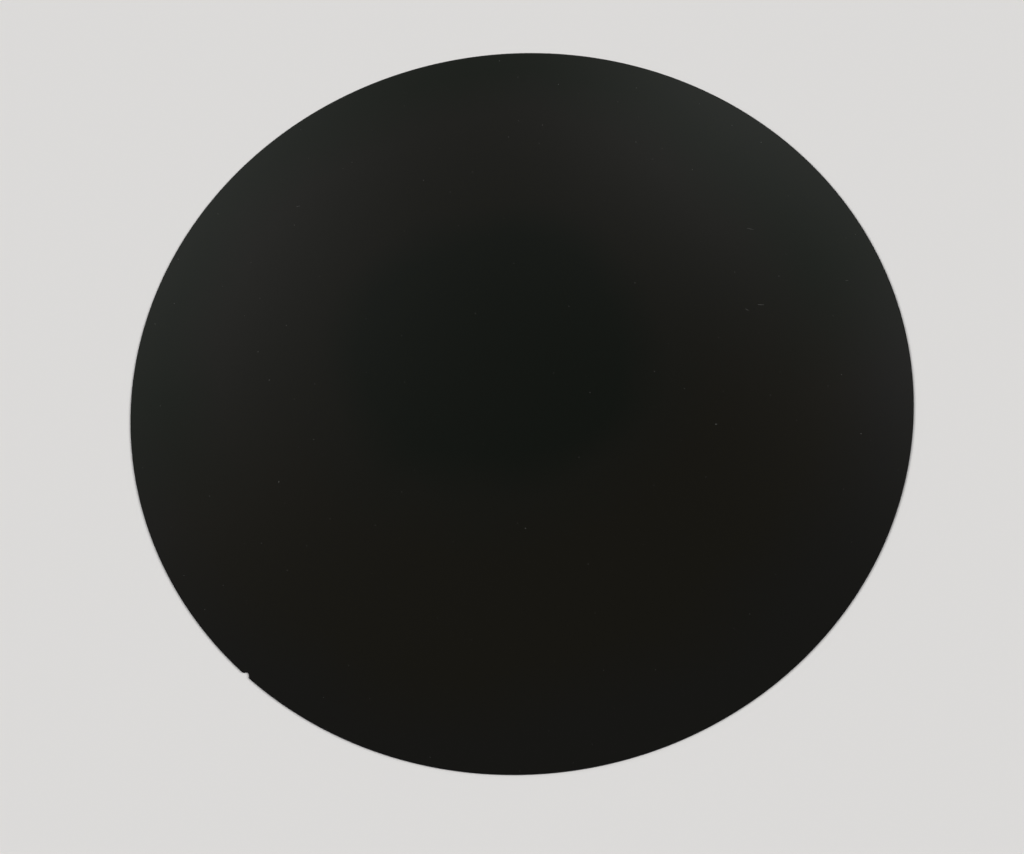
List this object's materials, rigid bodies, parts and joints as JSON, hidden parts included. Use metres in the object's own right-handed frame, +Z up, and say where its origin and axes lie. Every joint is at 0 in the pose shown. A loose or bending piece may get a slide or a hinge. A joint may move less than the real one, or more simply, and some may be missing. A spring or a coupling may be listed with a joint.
{
  "type": "gan-on-silicon epitaxial wafer",
  "caption": "Thin round semiconductor wafer, mirror-polished and near black, with a ground rounded rim and a small V-shaped orientation notch.",
  "frame": {"origin": "centre of the back face, on the surface that the wafer lies on", "axes": "+Z up through the thickness, out of the front (epitaxial) face; the orientation notch is at -Y"},
  "size_m": [0.3, 0.3, 0.0008],
  "materials": {
    "wafer": "polished"
  },
  "bodies": {
    "root": {"wafer": "wafer"}
  },
  "joints": []
}
